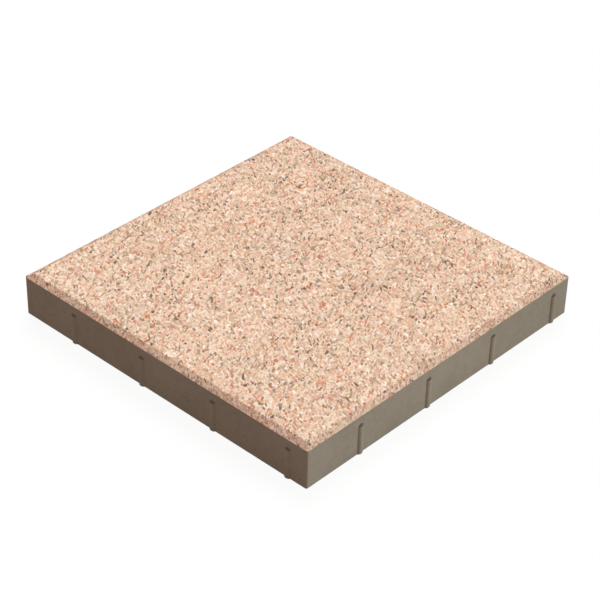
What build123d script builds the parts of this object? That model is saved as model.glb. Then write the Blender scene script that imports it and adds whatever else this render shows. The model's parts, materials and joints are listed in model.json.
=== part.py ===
import os

from build123d import *

# Laying size of the slab, without its spacer nibs
slab_side = 400
slab_thickness = 50

# Upright corners, and the bevel round the walking face
corner_radius = 2
bevel_width = 6.5
bevel_height = 4
face_corner_radius = 1

# Spacer nibs down the sides: half-round ribs with a rounded upper end
nibs_per_side = 4
nib_width = 8
nib_reach = 2
nib_drop = 9.5  # from the arris down to the top of the nib's head

# Sizes that follow from those above
arris_height = slab_thickness - bevel_height
face_side = slab_side - 2 * bevel_width
nib_radius = (nib_width**2 / 4 + nib_reach**2) / (2 * nib_reach)
nib_axis = slab_side / 2 + nib_reach - nib_radius
nib_straight = arris_height - nib_drop - nib_width / 2
nib_pitch = slab_side / nibs_per_side
nib_shift = nib_pitch / 4

# One nib as a whole round-ended bar: its inner part ends up inside the slab
with BuildPart() as nib:
    with BuildSketch(Plane.XZ):
        with BuildLine():
            foot = Line((0, 0), (nib_radius, 0))
            Line(foot @ 1, (nib_radius, nib_straight))
            head = CenterArc((0, nib_straight), nib_radius, 0, 90)
            Line(head @ 1, foot @ 0)
        make_face()
    revolve(axis=Axis.Z)

with BuildPart() as slab:
    # Straight sides up to the arris
    with BuildSketch():
        RectangleRounded(slab_side, slab_side, corner_radius)
    extrude(amount=arris_height)

    # Bevelled edge from the arris in to the walking face
    with BuildSketch(Plane.XY.offset(arris_height)):
        RectangleRounded(slab_side, slab_side, corner_radius)
    with BuildSketch(Plane.XY.offset(slab_thickness)):
        RectangleRounded(face_side, face_side, face_corner_radius)
    loft(ruled=True)

    # The same row of nibs on each of the four sides, a quarter pitch off centre,
    # so the nibs of two slabs laid together fall midway between each other
    with PolarLocations(nib_axis, 4):
        with Locations((0, nib_shift)):
            with GridLocations(nib_pitch, nib_pitch, 1, nibs_per_side):
                add(nib.part)

os.makedirs("parts", exist_ok=True)

slab.part.label = "paving_slab"
export_step(slab.part, "parts/paving_slab.step")
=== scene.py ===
import json
import math
import random

import bpy
from mathutils import Matrix, Quaternion, Vector

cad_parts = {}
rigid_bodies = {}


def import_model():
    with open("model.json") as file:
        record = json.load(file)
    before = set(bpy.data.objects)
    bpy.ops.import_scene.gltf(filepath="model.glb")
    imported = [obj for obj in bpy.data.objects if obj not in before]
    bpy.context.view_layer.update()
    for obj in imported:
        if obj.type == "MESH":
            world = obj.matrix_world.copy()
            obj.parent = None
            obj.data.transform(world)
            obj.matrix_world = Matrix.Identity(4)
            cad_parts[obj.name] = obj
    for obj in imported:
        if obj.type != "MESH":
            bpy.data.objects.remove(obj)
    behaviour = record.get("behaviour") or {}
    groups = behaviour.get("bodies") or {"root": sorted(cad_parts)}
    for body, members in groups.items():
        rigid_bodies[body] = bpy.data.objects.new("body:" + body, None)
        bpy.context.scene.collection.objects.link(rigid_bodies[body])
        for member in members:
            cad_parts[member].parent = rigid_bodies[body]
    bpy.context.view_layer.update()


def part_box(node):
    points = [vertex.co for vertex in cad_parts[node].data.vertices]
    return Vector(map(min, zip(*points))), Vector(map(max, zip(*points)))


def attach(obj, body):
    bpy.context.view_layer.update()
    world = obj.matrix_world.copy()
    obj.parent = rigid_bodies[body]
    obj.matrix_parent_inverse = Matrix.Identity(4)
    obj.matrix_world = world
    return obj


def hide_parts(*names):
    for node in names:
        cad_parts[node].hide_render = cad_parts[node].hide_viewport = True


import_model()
mm = 0.001
hair = 0.01 * mm  # slack where points are picked by their height


# Nodes: + - * < > on a Wire add Math nodes, and add() makes any other node
class Wire:
    def __init__(self, tree, socket=None):
        self.tree = tree
        self.socket = socket

    def add(self, kind, settings=None, sockets=None, out=0):
        node = self.tree.nodes.new(kind)
        for name, value in (settings or {}).items():
            setattr(node, name, value)
        for name, value in (sockets or {}).items():
            for wire in value if isinstance(value, list) else [value]:  # a list feeds one socket
                if isinstance(wire, Wire):
                    self.tree.links.new(wire.socket, node.inputs[name])
                else:
                    node.inputs[name].default_value = wire
        return Wire(self.tree, node.outputs[out] if node.outputs else None)

    def other(self, out):  # another output of the same node
        return Wire(self.tree, self.socket.node.outputs[out])

    def maths(self, operation, first, second):
        return self.add("ShaderNodeMath", {"operation": operation}, {0: first, 1: second})

    def __add__(self, value):
        return self.maths("ADD", self, value)

    def __radd__(self, value):
        return self.maths("ADD", value, self)

    def __sub__(self, value):
        return self.maths("SUBTRACT", self, value)

    def __rsub__(self, value):
        return self.maths("SUBTRACT", value, self)

    def __mul__(self, value):
        return self.maths("MULTIPLY", self, value)

    def __rmul__(self, value):
        return self.maths("MULTIPLY", value, self)

    def __gt__(self, value):
        return self.maths("GREATER_THAN", self, value)

    def __lt__(self, value):
        return self.maths("LESS_THAN", self, value)

    def blend(self, factor, first, second, way="MIX"):
        settings = {"data_type": "RGBA", "blend_type": way}
        return self.add("ShaderNodeMix", settings, {0: factor, 6: first, 7: second}, 2)

    def noise(self, place, scale, detail=2.0, rough=0.5):
        sockets = {"Vector": place, "Scale": scale, "Detail": detail, "Roughness": rough}
        return self.add("ShaderNodeTexNoise", None, sockets, "Fac")

    def ease(self, value, low, high):  # 0 below low, 1 above high
        settings = {"interpolation_type": "SMOOTHSTEP"}
        return self.add("ShaderNodeMapRange", settings, {"Value": value, 1: low, 2: high})


def fromScreen(red, green, blue):  # a colour as read off a screen, 0 to 255
    parts = []
    for level in (red, green, blue):
        level /= 255
        parts.append(level / 12.92 if level <= 0.04045 else ((level + 0.055) / 1.055) ** 2.4)
    return (*parts, 1.0)


def newFinish(name):
    finish = bpy.data.materials.new(name)
    finish.use_nodes = True
    tree = finish.node_tree
    tree.nodes.clear()
    return finish, Wire(tree)


def lay(sheet, v, colour, rough, height):  # relief, shader and output
    bump = sheet.add("ShaderNodeBump", None,
                     {"Strength": v["bump"], "Distance": v["relief"], "Height": height})
    shader = sheet.add("ShaderNodeBsdfPrincipled", None,
                       {"Base Color": colour, "Roughness": rough,
                        "Specular IOR Level": v["shine"], "Normal": bump})
    sheet.add("ShaderNodeOutputMaterial", None, {"Surface": shader})


# Hand work
def freeHands():
    if bpy.context.object and bpy.context.object.mode != "OBJECT":
        bpy.ops.object.mode_set(mode="OBJECT")
    bpy.ops.object.select_all(action="DESELECT")


def takeUp(piece):
    freeHands()
    piece.select_set(True)
    bpy.context.view_layer.objects.active = piece


def pick(piece, kind, test):  # selects what passes the test, and stays in edit mode
    takeUp(piece)
    bpy.ops.object.mode_set(mode="EDIT")
    bpy.ops.mesh.select_mode(type=kind)
    bpy.ops.mesh.select_all(action="DESELECT")
    bpy.ops.object.mode_set(mode="OBJECT")
    mesh = piece.data
    for item in {"VERT": mesh.vertices, "EDGE": mesh.edges, "FACE": mesh.polygons}[kind]:
        item.select = test(item)
    bpy.ops.object.mode_set(mode="EDIT")


def pickLevel(piece, low, high):  # the edges that lie wholly between two heights
    def inside(edge):
        return all(low < piece.data.vertices[v].co.z < high for v in edge.vertices)
    pick(piece, "EDGE", inside)


def fuse(piece, other, operation):
    takeUp(piece)
    bpy.ops.object.modifier_add(type="BOOLEAN")
    cut = piece.modifiers[-1]
    cut.operation = operation
    cut.solver = "EXACT"
    cut.object = other
    bpy.ops.object.modifier_apply(modifier=cut.name)
    bpy.data.objects.remove(other)


def joined(pieces):
    takeUp(pieces[0])
    for piece in pieces[1:]:
        piece.select_set(True)
    bpy.ops.object.join()
    return pieces[0]


# Camera at the photograph's angle
cameraPlace = {
    "azimuth": 42.432,
    "elevation": 35.615,
    "roll": 1.465,
    "distance": 2142.3 * mm,
    "aim": (-13.38 * mm, 17.79 * mm, 0.0),
    "lens": 121.2,
}


def placeCamera(v):
    turn = math.radians(v["azimuth"])
    rise = math.radians(v["elevation"])
    flat = math.cos(rise)
    back = Vector((math.sin(turn) * flat, -math.cos(turn) * flat, math.sin(rise)))
    data = bpy.data.cameras.new("camera")
    data.lens = v["lens"]
    camera = bpy.data.objects.new("camera", data)
    bpy.context.collection.objects.link(camera)
    camera.location = Vector(v["aim"]) + back * v["distance"]
    camera.rotation_mode = "QUATERNION"
    level = (-back).to_track_quat("-Z", "Y")
    camera.rotation_quaternion = level @ Quaternion((0, 0, 1), math.radians(v["roll"]))
    bpy.context.scene.camera = camera


placeCamera(cameraPlace)
print("camera placed")


# The casting: plain sides with nibs, and the cement bed that the chips lie in
slabCasting = {
    "nibReach": 2.0 * mm,
    "nibWidth": 8.0 * mm,
    "nibDrop": 9.5 * mm,
    "nibsPerSide": 4,
    "nibSegments": 48,
    "bevelWidth": 6.5 * mm,
    "bevelHeight": 4.0 * mm,
    "cornerRadius": 2.0 * mm,
    "faceCornerRadius": 1.0 * mm,
    "cornerSteps": 8,
    "cementDrop": 0.45 * mm,  # the cement lies this far below the tops of the chips
    "footSpare": 5.0 * mm,  # modelled below the bed, and cut off again
    "footEase": 0.2 * mm,  # the worn lower edge
    "footSteps": 2,
    "smoothAngle": 28.0,
}
low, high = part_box("paving_slab")
slabSide = high.x - low.x - 2 * slabCasting["nibReach"]
slabTop = high.z
arrisHeight = slabTop - slabCasting["bevelHeight"]


def roundedSquare(name, width, height, radius, steps):
    freeHands()
    bpy.ops.mesh.primitive_plane_add(size=width, location=(0, 0, height))
    piece = bpy.context.object
    piece.name = piece.data.name = name
    bpy.ops.object.transform_apply(location=True)
    bpy.ops.object.mode_set(mode="EDIT")
    bpy.ops.mesh.select_all(action="SELECT")
    bpy.ops.mesh.bevel(offset=radius, segments=steps, affect="VERTICES")
    bpy.ops.mesh.delete(type="ONLY_FACE")
    bpy.ops.object.mode_set(mode="OBJECT")
    return piece


def facingShell(name, drop, v):  # the walking face and its bevels, open below
    face = slabSide - 2 * v["bevelWidth"]
    steps = v["cornerSteps"]
    arris = roundedSquare(name, slabSide, arrisHeight - drop, v["cornerRadius"], steps)
    rim = roundedSquare(name + "Rim", face, slabTop - drop, v["faceCornerRadius"], steps)
    shell = joined([arris, rim])
    bpy.ops.object.mode_set(mode="EDIT")
    bpy.ops.mesh.select_mode(type="EDGE")
    bpy.ops.mesh.select_all(action="SELECT")
    bpy.ops.mesh.bridge_edge_loops()
    middle = slabTop - drop - v["bevelHeight"] / 2
    pickLevel(shell, middle, slabTop)
    bpy.ops.mesh.edge_face_add()
    bpy.ops.object.mode_set(mode="OBJECT")
    return shell


def makeNib(v):  # a round-ended bar whose inner part ends up inside the slab
    reach, half = v["nibReach"], v["nibWidth"] / 2
    radius = (half**2 + reach**2) / (2 * reach)
    axis = slabSide / 2 + reach - radius
    straight = arrisHeight - v["nibDrop"] - half
    freeHands()
    bpy.ops.mesh.primitive_uv_sphere_add(segments=v["nibSegments"], ring_count=v["nibSegments"] // 2,
                                         radius=radius, location=(axis, 0, straight))
    nib = bpy.context.object
    bpy.ops.object.transform_apply(location=True)
    pick(nib, "VERT", lambda point: point.co.z < straight - hair)
    bpy.ops.mesh.delete(type="VERT")
    pickLevel(nib, straight - hair, straight + hair)
    down = -straight - v["footSpare"]
    bpy.ops.mesh.extrude_region_move(TRANSFORM_OT_translate={"value": (0, 0, down)})
    bpy.ops.mesh.edge_face_add()
    bpy.ops.mesh.select_all(action="SELECT")
    bpy.ops.mesh.normals_make_consistent(inside=False)
    bpy.ops.object.mode_set(mode="OBJECT")
    return nib


def makeNibs(v):  # the same row on each side, a quarter of its pitch off centre
    nib = makeNib(v)
    count = v["nibsPerSide"]
    pitch = slabSide / count
    copies = []
    for side in range(4):
        for number in range(count):
            along = (number - (count - 1) / 2 + 1 / 4) * pitch
            copy = bpy.data.objects.new("nibCopy", nib.data.copy())
            bpy.context.collection.objects.link(copy)
            turn = Matrix.Rotation(side * math.pi / 2, 4, "Z")
            copy.data.transform(turn @ Matrix.Translation((0, along, 0)))
            copies.append(copy)
    bpy.data.objects.remove(nib)
    return joined(copies)


def makeCasting(v):
    casting = facingShell("slabCasting", v["cementDrop"], v)
    arris = arrisHeight - v["cementDrop"]
    pickLevel(casting, arris - mm, arris + mm)
    down = -arris - v["footSpare"]
    bpy.ops.mesh.extrude_region_move(TRANSFORM_OT_translate={"value": (0, 0, down)})
    bpy.ops.mesh.edge_face_add()
    bpy.ops.mesh.select_all(action="SELECT")
    bpy.ops.mesh.normals_make_consistent(inside=False)
    fuse(casting, makeNibs(v), "UNION")
    bpy.ops.object.mode_set(mode="EDIT")
    bpy.ops.mesh.select_all(action="SELECT")
    bpy.ops.mesh.bisect(plane_co=(0, 0, 0), plane_no=(0, 0, 1), use_fill=True, clear_inner=True)
    pickLevel(casting, -hair, hair)
    bpy.ops.mesh.bevel(offset=v["footEase"], segments=v["footSteps"], affect="EDGES")
    bpy.ops.object.mode_set(mode="OBJECT")
    return casting


casting = makeCasting(slabCasting)
print("casting modelled:", len(casting.data.polygons), "faces")


# Plain concrete of the sides and the bed
sideConcrete = {
    "dark": fromScreen(157, 147, 130),
    "pale": fromScreen(180, 172, 155),
    # nibHeadShade: the colour of a painted shade on faces that look up
    "nibHeadShade": fromScreen(92, 76, 64),
    "nibHeadShadeShare": 0.75,  # painted shade on the round tops of the nibs
    # pore: the colour of the pits, a painted shade in them
    "pore": fromScreen(88, 78, 66),
    "poreShadeShare": 0.78,
    "clouds": 16.0,  # these patterns are in repeats to the metre
    "patches": 140.0,
    "sand": 800.0,
    "grit": 3200.0,
    "pits": (230.0, 0.125, 0.55),  # repeats, size in a cell, share of the cells
    "pinholes": (420.0, 0.14, 0.35),
    "bump": 0.55,
    "relief": 0.35 * mm,
    "shine": 0.25,
}


def pores(sheet, place, scale, size, share):  # round pits of mixed sizes in some of the cells
    cells = sheet.add("ShaderNodeTexVoronoi", None, {"Vector": place, "Scale": scale})
    lot = sheet.add("ShaderNodeSeparateColor", None, {0: cells.other("Color")}, "Red")
    radius = lot.other("Green") * size + size * 0.4
    return sheet.ease(radius - cells, 0.0, size * 0.5) * (lot < share)


def upward(sheet):  # 1 where a face looks up, 0 on the sides
    normal = sheet.add("ShaderNodeNewGeometry", out="Normal")
    return sheet.add("ShaderNodeSeparateXYZ", None, {0: normal}, "Z")


def finishSides(v):
    finish, sheet = newFinish("sideConcrete")
    place = sheet.add("ShaderNodeTexCoord", out="Object")
    cloud = sheet.noise(place, v["clouds"], 4)
    patch = sheet.noise(place, v["patches"], 3)
    sand = sheet.noise(place, v["sand"], 3, 0.65)
    grit = sheet.noise(place, v["grit"], 2, 0.6)
    shade = cloud * 0.3 + patch * 0.2 + sand * 0.4 + (grit - 0.5) * 0.5 + 0.05
    colour = sheet.blend(sheet.ease(shade, 0.3, 0.7), v["dark"], v["pale"])
    # painted shade: faces that look up, the round tops of the nibs, are darkened
    shadedHead = sheet.ease(upward(sheet) + (sand - 0.5) * 0.3, 0.08, 0.45)
    colour = sheet.blend(shadedHead * v["nibHeadShadeShare"], colour, v["nibHeadShade"])
    pit = pores(sheet, place, *v["pits"])
    pinhole = pores(sheet, place, *v["pinholes"])
    hole = sheet.maths("MAXIMUM", pit, pinhole * 0.8)
    # painted shade: the pits and pinholes are darkened, on top of their bump
    colour = sheet.blend(hole * v["poreShadeShare"], colour, v["pore"])
    height = sand * 0.35 + patch * 0.3 + grit * 0.2 - hole
    lay(sheet, v, colour, 0.82 + sand * 0.16, height)
    return finish


# Cement and sand between the chips, what lies on them, and painted shade on the bevels
# a little dust on the bevels, and shade: a multiply that paints the bevels darker
bevelDustAndPaintedShade = {"colour": fromScreen(206, 172, 150), "share": 0.04, "shade": (0.90, 0.874, 0.865, 1.0)}
cementFilm = {"colour": fromScreen(231, 200, 176), "share": 0.08, "drift": 0.3, "patches": 20.0}
bedCement = {
    "cream": fromScreen(254, 231, 210),
    "peach": fromScreen(236, 203, 178),
    "tan": fromScreen(206, 170, 146),
    "grains": 620.0,
    "blotches": 260.0,
    "fine": 1100.0,
    "bump": 0.5,
    "relief": 0.3 * mm,
    "shine": 0.25,
}
levelFace = 0.95  # the walking face looks up more than this, and the bevels less


def dustedAndShaded(sheet, place, colour, bevel):  # cement left in patches, dust on the bevels, and painted shade that darkens the bevels
    patch = sheet.noise(place, cementFilm["patches"], 4)
    film = sheet.ease(patch, 0.3, 0.7) * cementFilm["share"]
    colour = sheet.blend(film, colour, cementFilm["colour"])
    colour = sheet.blend(1.0, colour, (patch - 0.5) * cementFilm["drift"] + 1.0, "MULTIPLY")
    colour = sheet.blend(bevel * bevelDustAndPaintedShade["share"], colour, bevelDustAndPaintedShade["colour"])
    # painted shade: the bevels are multiplied darker
    return sheet.blend(bevel, colour, bevelDustAndPaintedShade["shade"], "MULTIPLY")


def finishBed(v):
    finish, sheet = newFinish("bedCement")
    place = sheet.add("ShaderNodeTexCoord", out="Object")
    grain = sheet.add("ShaderNodeTexVoronoi", None, {"Vector": place, "Scale": v["grains"]}, "Color")
    lot = sheet.add("ShaderNodeSeparateColor", None, {0: grain}, "Red")
    patch = sheet.noise(place, v["blotches"], 3)
    colour = sheet.blend(sheet.ease(lot * 0.6 + patch * 0.7, 0.35, 0.85), v["peach"], v["cream"])
    colour = sheet.blend(sheet.ease(lot, 0.8, 0.88), colour, v["tan"])
    colour = dustedAndShaded(sheet, place, colour, upward(sheet) < levelFace)
    fine = sheet.noise(place, v["fine"], 2)
    lay(sheet, v, colour, 0.8 + fine * 0.2, fine + lot * 0.5)
    return finish


def finishCasting(piece):
    piece.data.materials.append(finishSides(sideConcrete))
    piece.data.materials.append(finishBed(bedCement))
    edge = arrisHeight - slabCasting["cementDrop"] - hair
    for face in piece.data.polygons:
        heights = [piece.data.vertices[v].co.z for v in face.vertices]
        face.material_index = int(min(heights) > edge)
    takeUp(piece)
    bpy.ops.object.shade_smooth_by_angle(angle=math.radians(slabCasting["smoothAngle"]))
    bpy.ops.object.modifier_add(type="WEIGHTED_NORMAL")
    piece.modifiers[-1].keep_sharp = True
    bpy.ops.object.modifier_apply(modifier=piece.modifiers[-1].name)
    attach(piece, "root")
    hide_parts("paving_slab")


finishCasting(casting)
print("casting finished")


# Granite chips of the facing: a few shapes, scattered and turned
chipShapes = {
    "count": 12,
    "sides": (5, 6, 7),
    "depth": 1.1,
    "jitter": 0.3,
    "stretch": (0.9, 1.1),
    "taper": 0.85,  # the upper end against the lower
    "crown": 0.12,  # what is left of the jitter on the upper end
    "seed": 11,
}
chipScatter = {
    "spacing": (2.55 * mm, 2.0 * mm),  # on the walking face, and on the bevels
    "size": (1.0, 0.72),
    "length": (2.25 * mm, 5.4 * mm),  # from the middle to the end
    "width": (0.95 * mm, 2.4 * mm),
    "height": (0.9 * mm, 1.5 * mm),
    "lie": (0.674, -0.738, 0.0),  # the chips' long sides lean this way
    "stray": 39.0,
    "tilt": 4.0,
    "sink": 0.2 * mm,
    "clumps": 45.0,  # kinds gather a little in patches of this many to the metre
    "clumping": 0.5,
    "seed": 5,
}
chipTrim = {"proud": 0.1 * mm, "flush": 0.05 * mm, "cutsPerCorner": 4}
chipStone = {
    "blotches": 420.0,
    "grain": 2600.0,
    "flecks": (1500.0, 0.3, 0.25),
    "fleck": (0.10, 0.08, 0.07, 1.0),
    "fleckShare": 0.3,
    "bump": 0.3,
    "relief": 0.1 * mm,
    "shine": 0.3,
}
chipKinds = {  # share of the chips, and the two ends of their colour
    "whiteChips": (0.11, fromScreen(255, 243, 234), fromScreen(247, 226, 204)),
    "creamChips": (0.16, fromScreen(249, 229, 199), fromScreen(236, 205, 190)),
    "peachChips": (0.155, fromScreen(240, 213, 196), fromScreen(221, 188, 156)),
    "pinkChips": (0.145, fromScreen(241, 194, 177), fromScreen(222, 165, 136)),
    "ochreChips": (0.025, fromScreen(238, 200, 154), fromScreen(220, 176, 132)),
    "rustChips": (0.06, fromScreen(230, 154, 118), fromScreen(201, 120, 90)),
    "sandChips": (0.165, fromScreen(224, 197, 160), fromScreen(202, 169, 146)),
    "taupeChips": (0.115, fromScreen(193, 169, 154), fromScreen(182, 140, 103)),
    "greyChips": (0.045, fromScreen(156, 148, 138), fromScreen(160, 121, 84)),
    "darkChips": (0.02, fromScreen(119, 112, 103), fromScreen(122, 82, 50)),
}


def makeChipShape(number, v, drawer):
    dice = random.Random(v["seed"] + number)
    middle = -v["depth"] / 2
    freeHands()
    bpy.ops.mesh.primitive_cylinder_add(vertices=v["sides"][number % len(v["sides"])],
                                        radius=1, depth=v["depth"], location=(0, 0, middle))
    shape = bpy.context.object
    shape.name = f"chipShape{number}"
    bpy.ops.object.transform_apply(location=True)
    bpy.ops.object.mode_set(mode="EDIT")
    bpy.ops.mesh.select_all(action="SELECT")
    bpy.ops.transform.vertex_random(offset=v["jitter"], seed=v["seed"] + number)
    stretch = dice.uniform(*v["stretch"])
    bpy.ops.transform.resize(value=(stretch, 1 / stretch, 1), center_override=(0, 0, 0))
    pick(shape, "VERT", lambda point: point.co.z > middle)
    bpy.ops.transform.resize(value=(v["taper"], v["taper"], v["crown"]), center_override=(0, 0, 0))
    bpy.ops.object.mode_set(mode="OBJECT")
    drawer.objects.link(shape)
    bpy.context.collection.objects.unlink(shape)
    return shape


def finishChips(kind, colours, v):
    finish, sheet = newFinish(kind)
    place = sheet.add("ShaderNodeTexCoord", out="Object")
    tone = sheet.add("ShaderNodeAttribute", {"attribute_name": "tone"}, None, "Fac")
    patch = sheet.noise(place, v["blotches"], 3)
    mix = tone * 0.7 + patch * 0.7 - 0.2
    colour = sheet.blend(sheet.ease(mix, 0.0, 1.0), colours[0], colours[1])
    grain = sheet.noise(place, v["grain"], 2, 0.6)
    colour = sheet.blend(1.0, colour, 0.69 + grain * 0.28 + patch * 0.34, "MULTIPLY")
    fleck = pores(sheet, place, *v["flecks"])
    colour = sheet.blend(fleck * v["fleckShare"], colour, v["fleck"])
    bevel = sheet.add("ShaderNodeAttribute", {"attribute_name": "bevel"}, None, "Fac")
    colour = dustedAndShaded(sheet, place, colour, bevel)
    lay(sheet, v, colour, 0.6 + grain * 0.3, grain - fleck * 0.5)
    return finish


def drawn(sheet, v, span, seed):  # a chance value for each chip
    sockets = {2: span[0], 3: span[1], "Seed": v["seed"] + seed}
    return sheet.add("FunctionNodeRandomValue", {"data_type": "FLOAT"}, sockets, 1)


def mostlySmall(sheet, v, span, seed):
    dice = drawn(sheet, v, (0.0, 1.0), seed)
    return dice * dice * dice * (span[1] - span[0]) + span[0]


def chipPoints(sheet, guide, tickets, zone, v):  # where one kind lies, and how the face turns there
    normal = sheet.add("GeometryNodeInputNormal")
    up = sheet.add("ShaderNodeSeparateXYZ", None, {0: normal}, "Z")
    spacing = v["spacing"][zone]
    points = sheet.add("GeometryNodeDistributePointsOnFaces", {"distribute_method": "POISSON"},
                       {"Mesh": guide, "Selection": up < levelFace if zone else up > levelFace,
                        "Distance Min": spacing, "Density Max": 4 / spacing**2, "Seed": v["seed"]})
    place = sheet.add("GeometryNodeInputPosition")
    drift = (sheet.noise(place, v["clumps"], 3) - 0.5) * v["clumping"]
    ticket = drawn(sheet, v, (0.0, 1.0), 1) + drift
    others = (ticket < tickets[0]) + (ticket > tickets[1])
    own = sheet.add("GeometryNodeDeleteGeometry", {"domain": "POINT"},
                    {"Geometry": points, "Selection": others})
    return own, points.other("Rotation")


def chipTurns(sheet, flat, v):  # near the lie, and nearly flat on the face
    tilt = math.radians(v["tilt"])
    stray = math.radians(v["stray"])
    angles = sheet.add("ShaderNodeCombineXYZ", None, {0: drawn(sheet, v, (-tilt, tilt), 2),
                                                      1: drawn(sheet, v, (-tilt, tilt), 3),
                                                      2: drawn(sheet, v, (-stray, stray), 4)})
    lying = sheet.add("FunctionNodeAlignRotationToVector", {"axis": "X", "pivot_axis": "Z"},
                      {"Rotation": flat, "Vector": v["lie"]})
    loose = sheet.add("FunctionNodeEulerToRotation", None, {0: angles})
    return sheet.add("FunctionNodeRotateRotation", {"rotation_space": "LOCAL"}, {0: lying, 1: loose})


def chipSizes(sheet, zone, v):
    length = mostlySmall(sheet, v, v["length"], 5) * v["size"][zone]
    width = mostlySmall(sheet, v, v["width"], 6) * v["size"][zone]
    height = drawn(sheet, v, v["height"], 7)
    return sheet.add("ShaderNodeCombineXYZ", None, {0: length, 1: width, 2: height})


def scatterZone(sheet, guide, tickets, zone, drawer, v):  # zone 0 is the walking face, 1 the bevels
    points, flat = chipPoints(sheet, guide, tickets, zone, v)
    shapes = sheet.add("GeometryNodeCollectionInfo", None,
                       {"Collection": drawer, "Separate Children": True, "Reset Children": True})
    which = sheet.add("FunctionNodeRandomValue", {"data_type": "INT"},
                      {4: 0, 5: len(drawer.objects) - 1, "Seed": v["seed"] + 8}, 2)
    chips = sheet.add("GeometryNodeInstanceOnPoints", None,
                      {"Points": points, "Instance": shapes, "Pick Instance": True,
                       "Instance Index": which, "Rotation": chipTurns(sheet, flat, v),
                       "Scale": chipSizes(sheet, zone, v)})
    tone = drawn(sheet, v, (0.0, 1.0), 9)
    for name, value in (("tone", tone), ("bevel", float(zone))):
        chips = sheet.add("GeometryNodeStoreNamedAttribute",
                          {"data_type": "FLOAT", "domain": "INSTANCE"},
                          {"Geometry": chips, "Name": name, "Value": value})
    return chips


def scatterTree(kind, tickets, finish, drawer, v):
    tree = bpy.data.node_groups.new(kind, "GeometryNodeTree")
    for way in ("INPUT", "OUTPUT"):
        tree.interface.new_socket("Geometry", in_out=way, socket_type="NodeSocketGeometry")
    sheet = Wire(tree)
    guide = sheet.add("NodeGroupInput")
    zones = [scatterZone(sheet, guide, tickets, zone, drawer, v) for zone in (0, 1)]
    chips = sheet.add("GeometryNodeJoinGeometry", None, {0: zones})
    chips = sheet.add("GeometryNodeRealizeInstances", None, {0: chips})
    chips = sheet.add("GeometryNodeSetMaterial", None, {"Geometry": chips, "Material": finish})
    sheet.add("NodeGroupOutput", None, {0: chips})
    return tree


def trimPlanes(v, trim):  # just above the face and bevels, just inside the sides and corners
    proud, flush, cuts = trim["proud"], trim["flush"], trim["cutsPerCorner"]
    planes = [(Vector((0, 0, slabTop + proud)), Vector((0, 0, 1)))]
    radius = v["cornerRadius"]
    for step in range(4 * cuts):
        angle = step * math.pi / (2 * cuts)
        way = Vector((math.cos(angle), math.sin(angle), 0))
        reach = (slabSide / 2 - radius) * (abs(way.x) + abs(way.y)) + radius
        planes.append((way * (reach - flush), way))
        if step % cuts == 0:  # a side, with its bevel
            slope = (way * v["bevelHeight"] + Vector((0, 0, v["bevelWidth"]))).normalized()
            planes.append((way * slabSide / 2 + Vector((0, 0, arrisHeight)) + slope * proud, slope))
    return planes


def trimChips(piece):
    takeUp(piece)
    bpy.ops.object.mode_set(mode="EDIT")
    for place, way in trimPlanes(slabCasting, chipTrim):
        bpy.ops.mesh.select_all(action="SELECT")
        bpy.ops.mesh.bisect(plane_co=place, plane_no=way, use_fill=True, clear_outer=True)
    bpy.ops.mesh.select_all(action="SELECT")
    bpy.ops.mesh.fill_holes(sides=0)
    bpy.ops.mesh.normals_make_consistent(inside=False)
    bpy.ops.mesh.select_mode(type="EDGE")
    bpy.ops.mesh.select_all(action="DESELECT")
    bpy.ops.mesh.select_non_manifold(use_multi_face=False, use_non_contiguous=False, use_verts=False)
    bpy.ops.mesh.select_linked()
    bpy.ops.mesh.delete(type="VERT")  # the odd chip that a cut left open
    bpy.ops.object.mode_set(mode="OBJECT")


def makeChips(kinds, shapes, scatter):
    drawer = bpy.data.collections.new("chipShapes")
    patterns = [makeChipShape(number, shapes, drawer) for number in range(shapes["count"])]
    start = -1.0  # clumping takes some tickets below 0 or above 1: the end kinds get those
    end = 0.0
    for kind, (share, *colours) in kinds.items():
        end += share
        if kind == list(kinds)[-1]:
            end = 2.0
        chips = facingShell(kind, scatter["sink"], slabCasting)
        finish = finishChips(kind, colours, chipStone)
        tree = scatterTree(kind, (start, end), finish, drawer, scatter)
        takeUp(chips)
        bpy.ops.object.modifier_add(type="NODES")
        chips.modifiers[-1].node_group = tree
        bpy.ops.object.modifier_apply(modifier=chips.modifiers[-1].name)
        trimChips(chips)
        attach(chips, "root")
        start = end
        count = sum(len(face.vertices) - 2 for face in chips.data.polygons)
        print(kind, count, "triangles")
    for pattern in patterns:
        bpy.data.objects.remove(pattern)


makeChips(chipKinds, chipShapes, chipScatter)


# Floor, light and background
studio = {
    "floor": 6.0,
    "floorGap": 0.1 * mm,  # keeps the floor out of the bed face
    "floorBounce": (0.18, 0.125, 0.11, 1.0),
    "floorPale": (0.9, 0.9, 0.9, 1.0),
    "floorShare": 0.10,  # of the pale floor, which takes the shadow
    "floorGlow": 1.03,
    "white": (1.0, 1.0, 1.0, 1.0),
    "world": (0.470, 0.375, 0.343, 1.0),
    "key": {"toward": (-0.28, 0.353, 0.60), "strength": 2.09, "softness": 35.0,
            "colour": (0.885, 1.0, 1.0)},
    "side": {"toward": (0.36, 0.36, 0.04), "strength": 2.23, "softness": 35.0,
             "colour": (0.84, 0.98, 1.0)},
}


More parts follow.
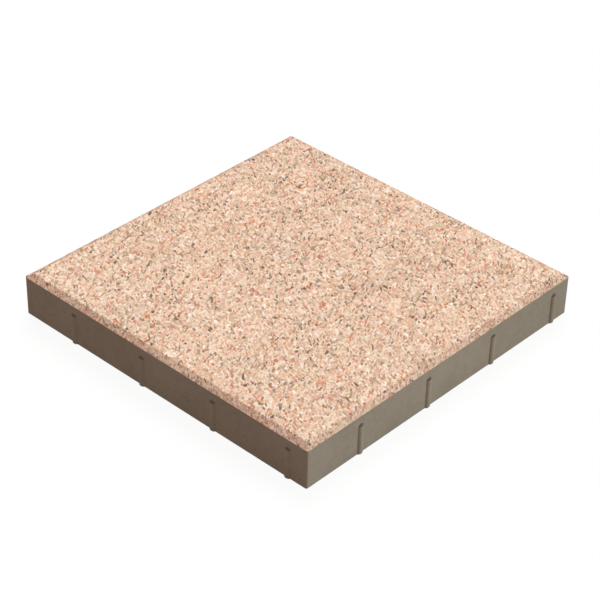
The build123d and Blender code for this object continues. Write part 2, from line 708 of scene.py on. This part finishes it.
def seen(sheet):  # 1 for the camera, reflections and glass, 0 for light on the slab
    camera = sheet.add("ShaderNodeLightPath", out="Is Camera Ray")
    return camera + camera.other("Is Glossy Ray") + camera.other("Is Transmission Ray")


def makeFloor(v):
    freeHands()
    bpy.ops.mesh.primitive_plane_add(size=v["floor"], location=(0, 0, -v["floorGap"]))
    floor = bpy.context.object
    floor.name = "floor"
    finish, sheet = newFinish("floorFinish")
    bounce = sheet.add("ShaderNodeBsdfDiffuse", None, {"Color": v["floorBounce"]})
    pale = sheet.add("ShaderNodeBsdfDiffuse", None, {"Color": v["floorPale"]})
    glow = sheet.add("ShaderNodeEmission", None, {"Color": v["white"], "Strength": v["floorGlow"]})
    bright = sheet.add("ShaderNodeMixShader", None, {0: v["floorShare"], 1: glow, 2: pale})
    look = sheet.add("ShaderNodeMixShader", None, {0: seen(sheet), 1: bounce, 2: bright})
    sheet.add("ShaderNodeOutputMaterial", None, {"Surface": look})
    floor.data.materials.append(finish)


def makeWorld(v):
    world = bpy.data.worlds.new("studio")
    bpy.context.scene.world = world
    world.use_nodes = True
    world.node_tree.nodes.clear()
    sheet = Wire(world.node_tree)
    soft = sheet.add("ShaderNodeBackground", None, {"Color": v["world"]})
    white = sheet.add("ShaderNodeBackground", None, {"Color": v["white"]})
    look = sheet.add("ShaderNodeMixShader", None, {0: seen(sheet), 1: soft, 2: white})
    sheet.add("ShaderNodeOutputWorld", None, {"Surface": look})


def makeLamp(name, v):
    data = bpy.data.lights.new(name, "SUN")
    data.energy = v["strength"]
    data.angle = math.radians(v["softness"])
    data.color = v["colour"]
    lamp = bpy.data.objects.new(name, data)
    bpy.context.collection.objects.link(lamp)
    lamp.location = v["toward"]
    lamp.rotation_mode = "QUATERNION"
    lamp.rotation_quaternion = (-Vector(v["toward"])).to_track_quat("-Z", "Y")


makeFloor(studio)
makeWorld(studio)
makeLamp("keyLamp", studio["key"])
makeLamp("sideLamp", studio["side"])
bpy.context.scene.view_settings.view_transform = "Standard"
print("studio set")
